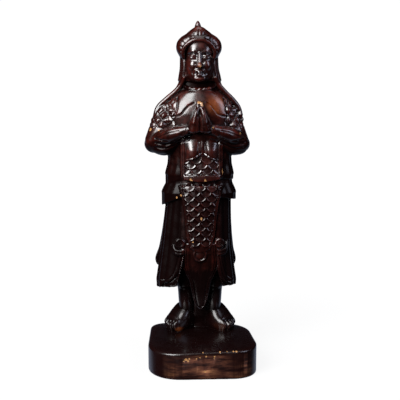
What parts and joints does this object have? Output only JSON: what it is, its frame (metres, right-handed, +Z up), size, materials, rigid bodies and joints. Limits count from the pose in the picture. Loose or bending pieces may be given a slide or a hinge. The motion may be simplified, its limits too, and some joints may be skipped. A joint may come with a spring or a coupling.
{
  "type": "wooden statuette",
  "caption": "Carved hardwood statuette of a standing guardian in scale armour and a long cape, palms joined in prayer, barefoot on a low rounded plinth.",
  "frame": {"origin": "middle of the plinth's flat underside, on the surface that the statuette stands on", "axes": "+Z up along the figure's height, -Y the way the figure faces, +X to the right of a viewer in front of it"},
  "size_m": [0.0968, 0.0818, 0.3],
  "materials": {
    "lacquered_hardwood": "dark red-brown lacquer, polished, worn to orange-brown wood on the plinth's front, the feet and a few chips"
  },
  "bodies": {
    "root": {"carved_statuette": "lacquered_hardwood"}
  },
  "joints": []
}
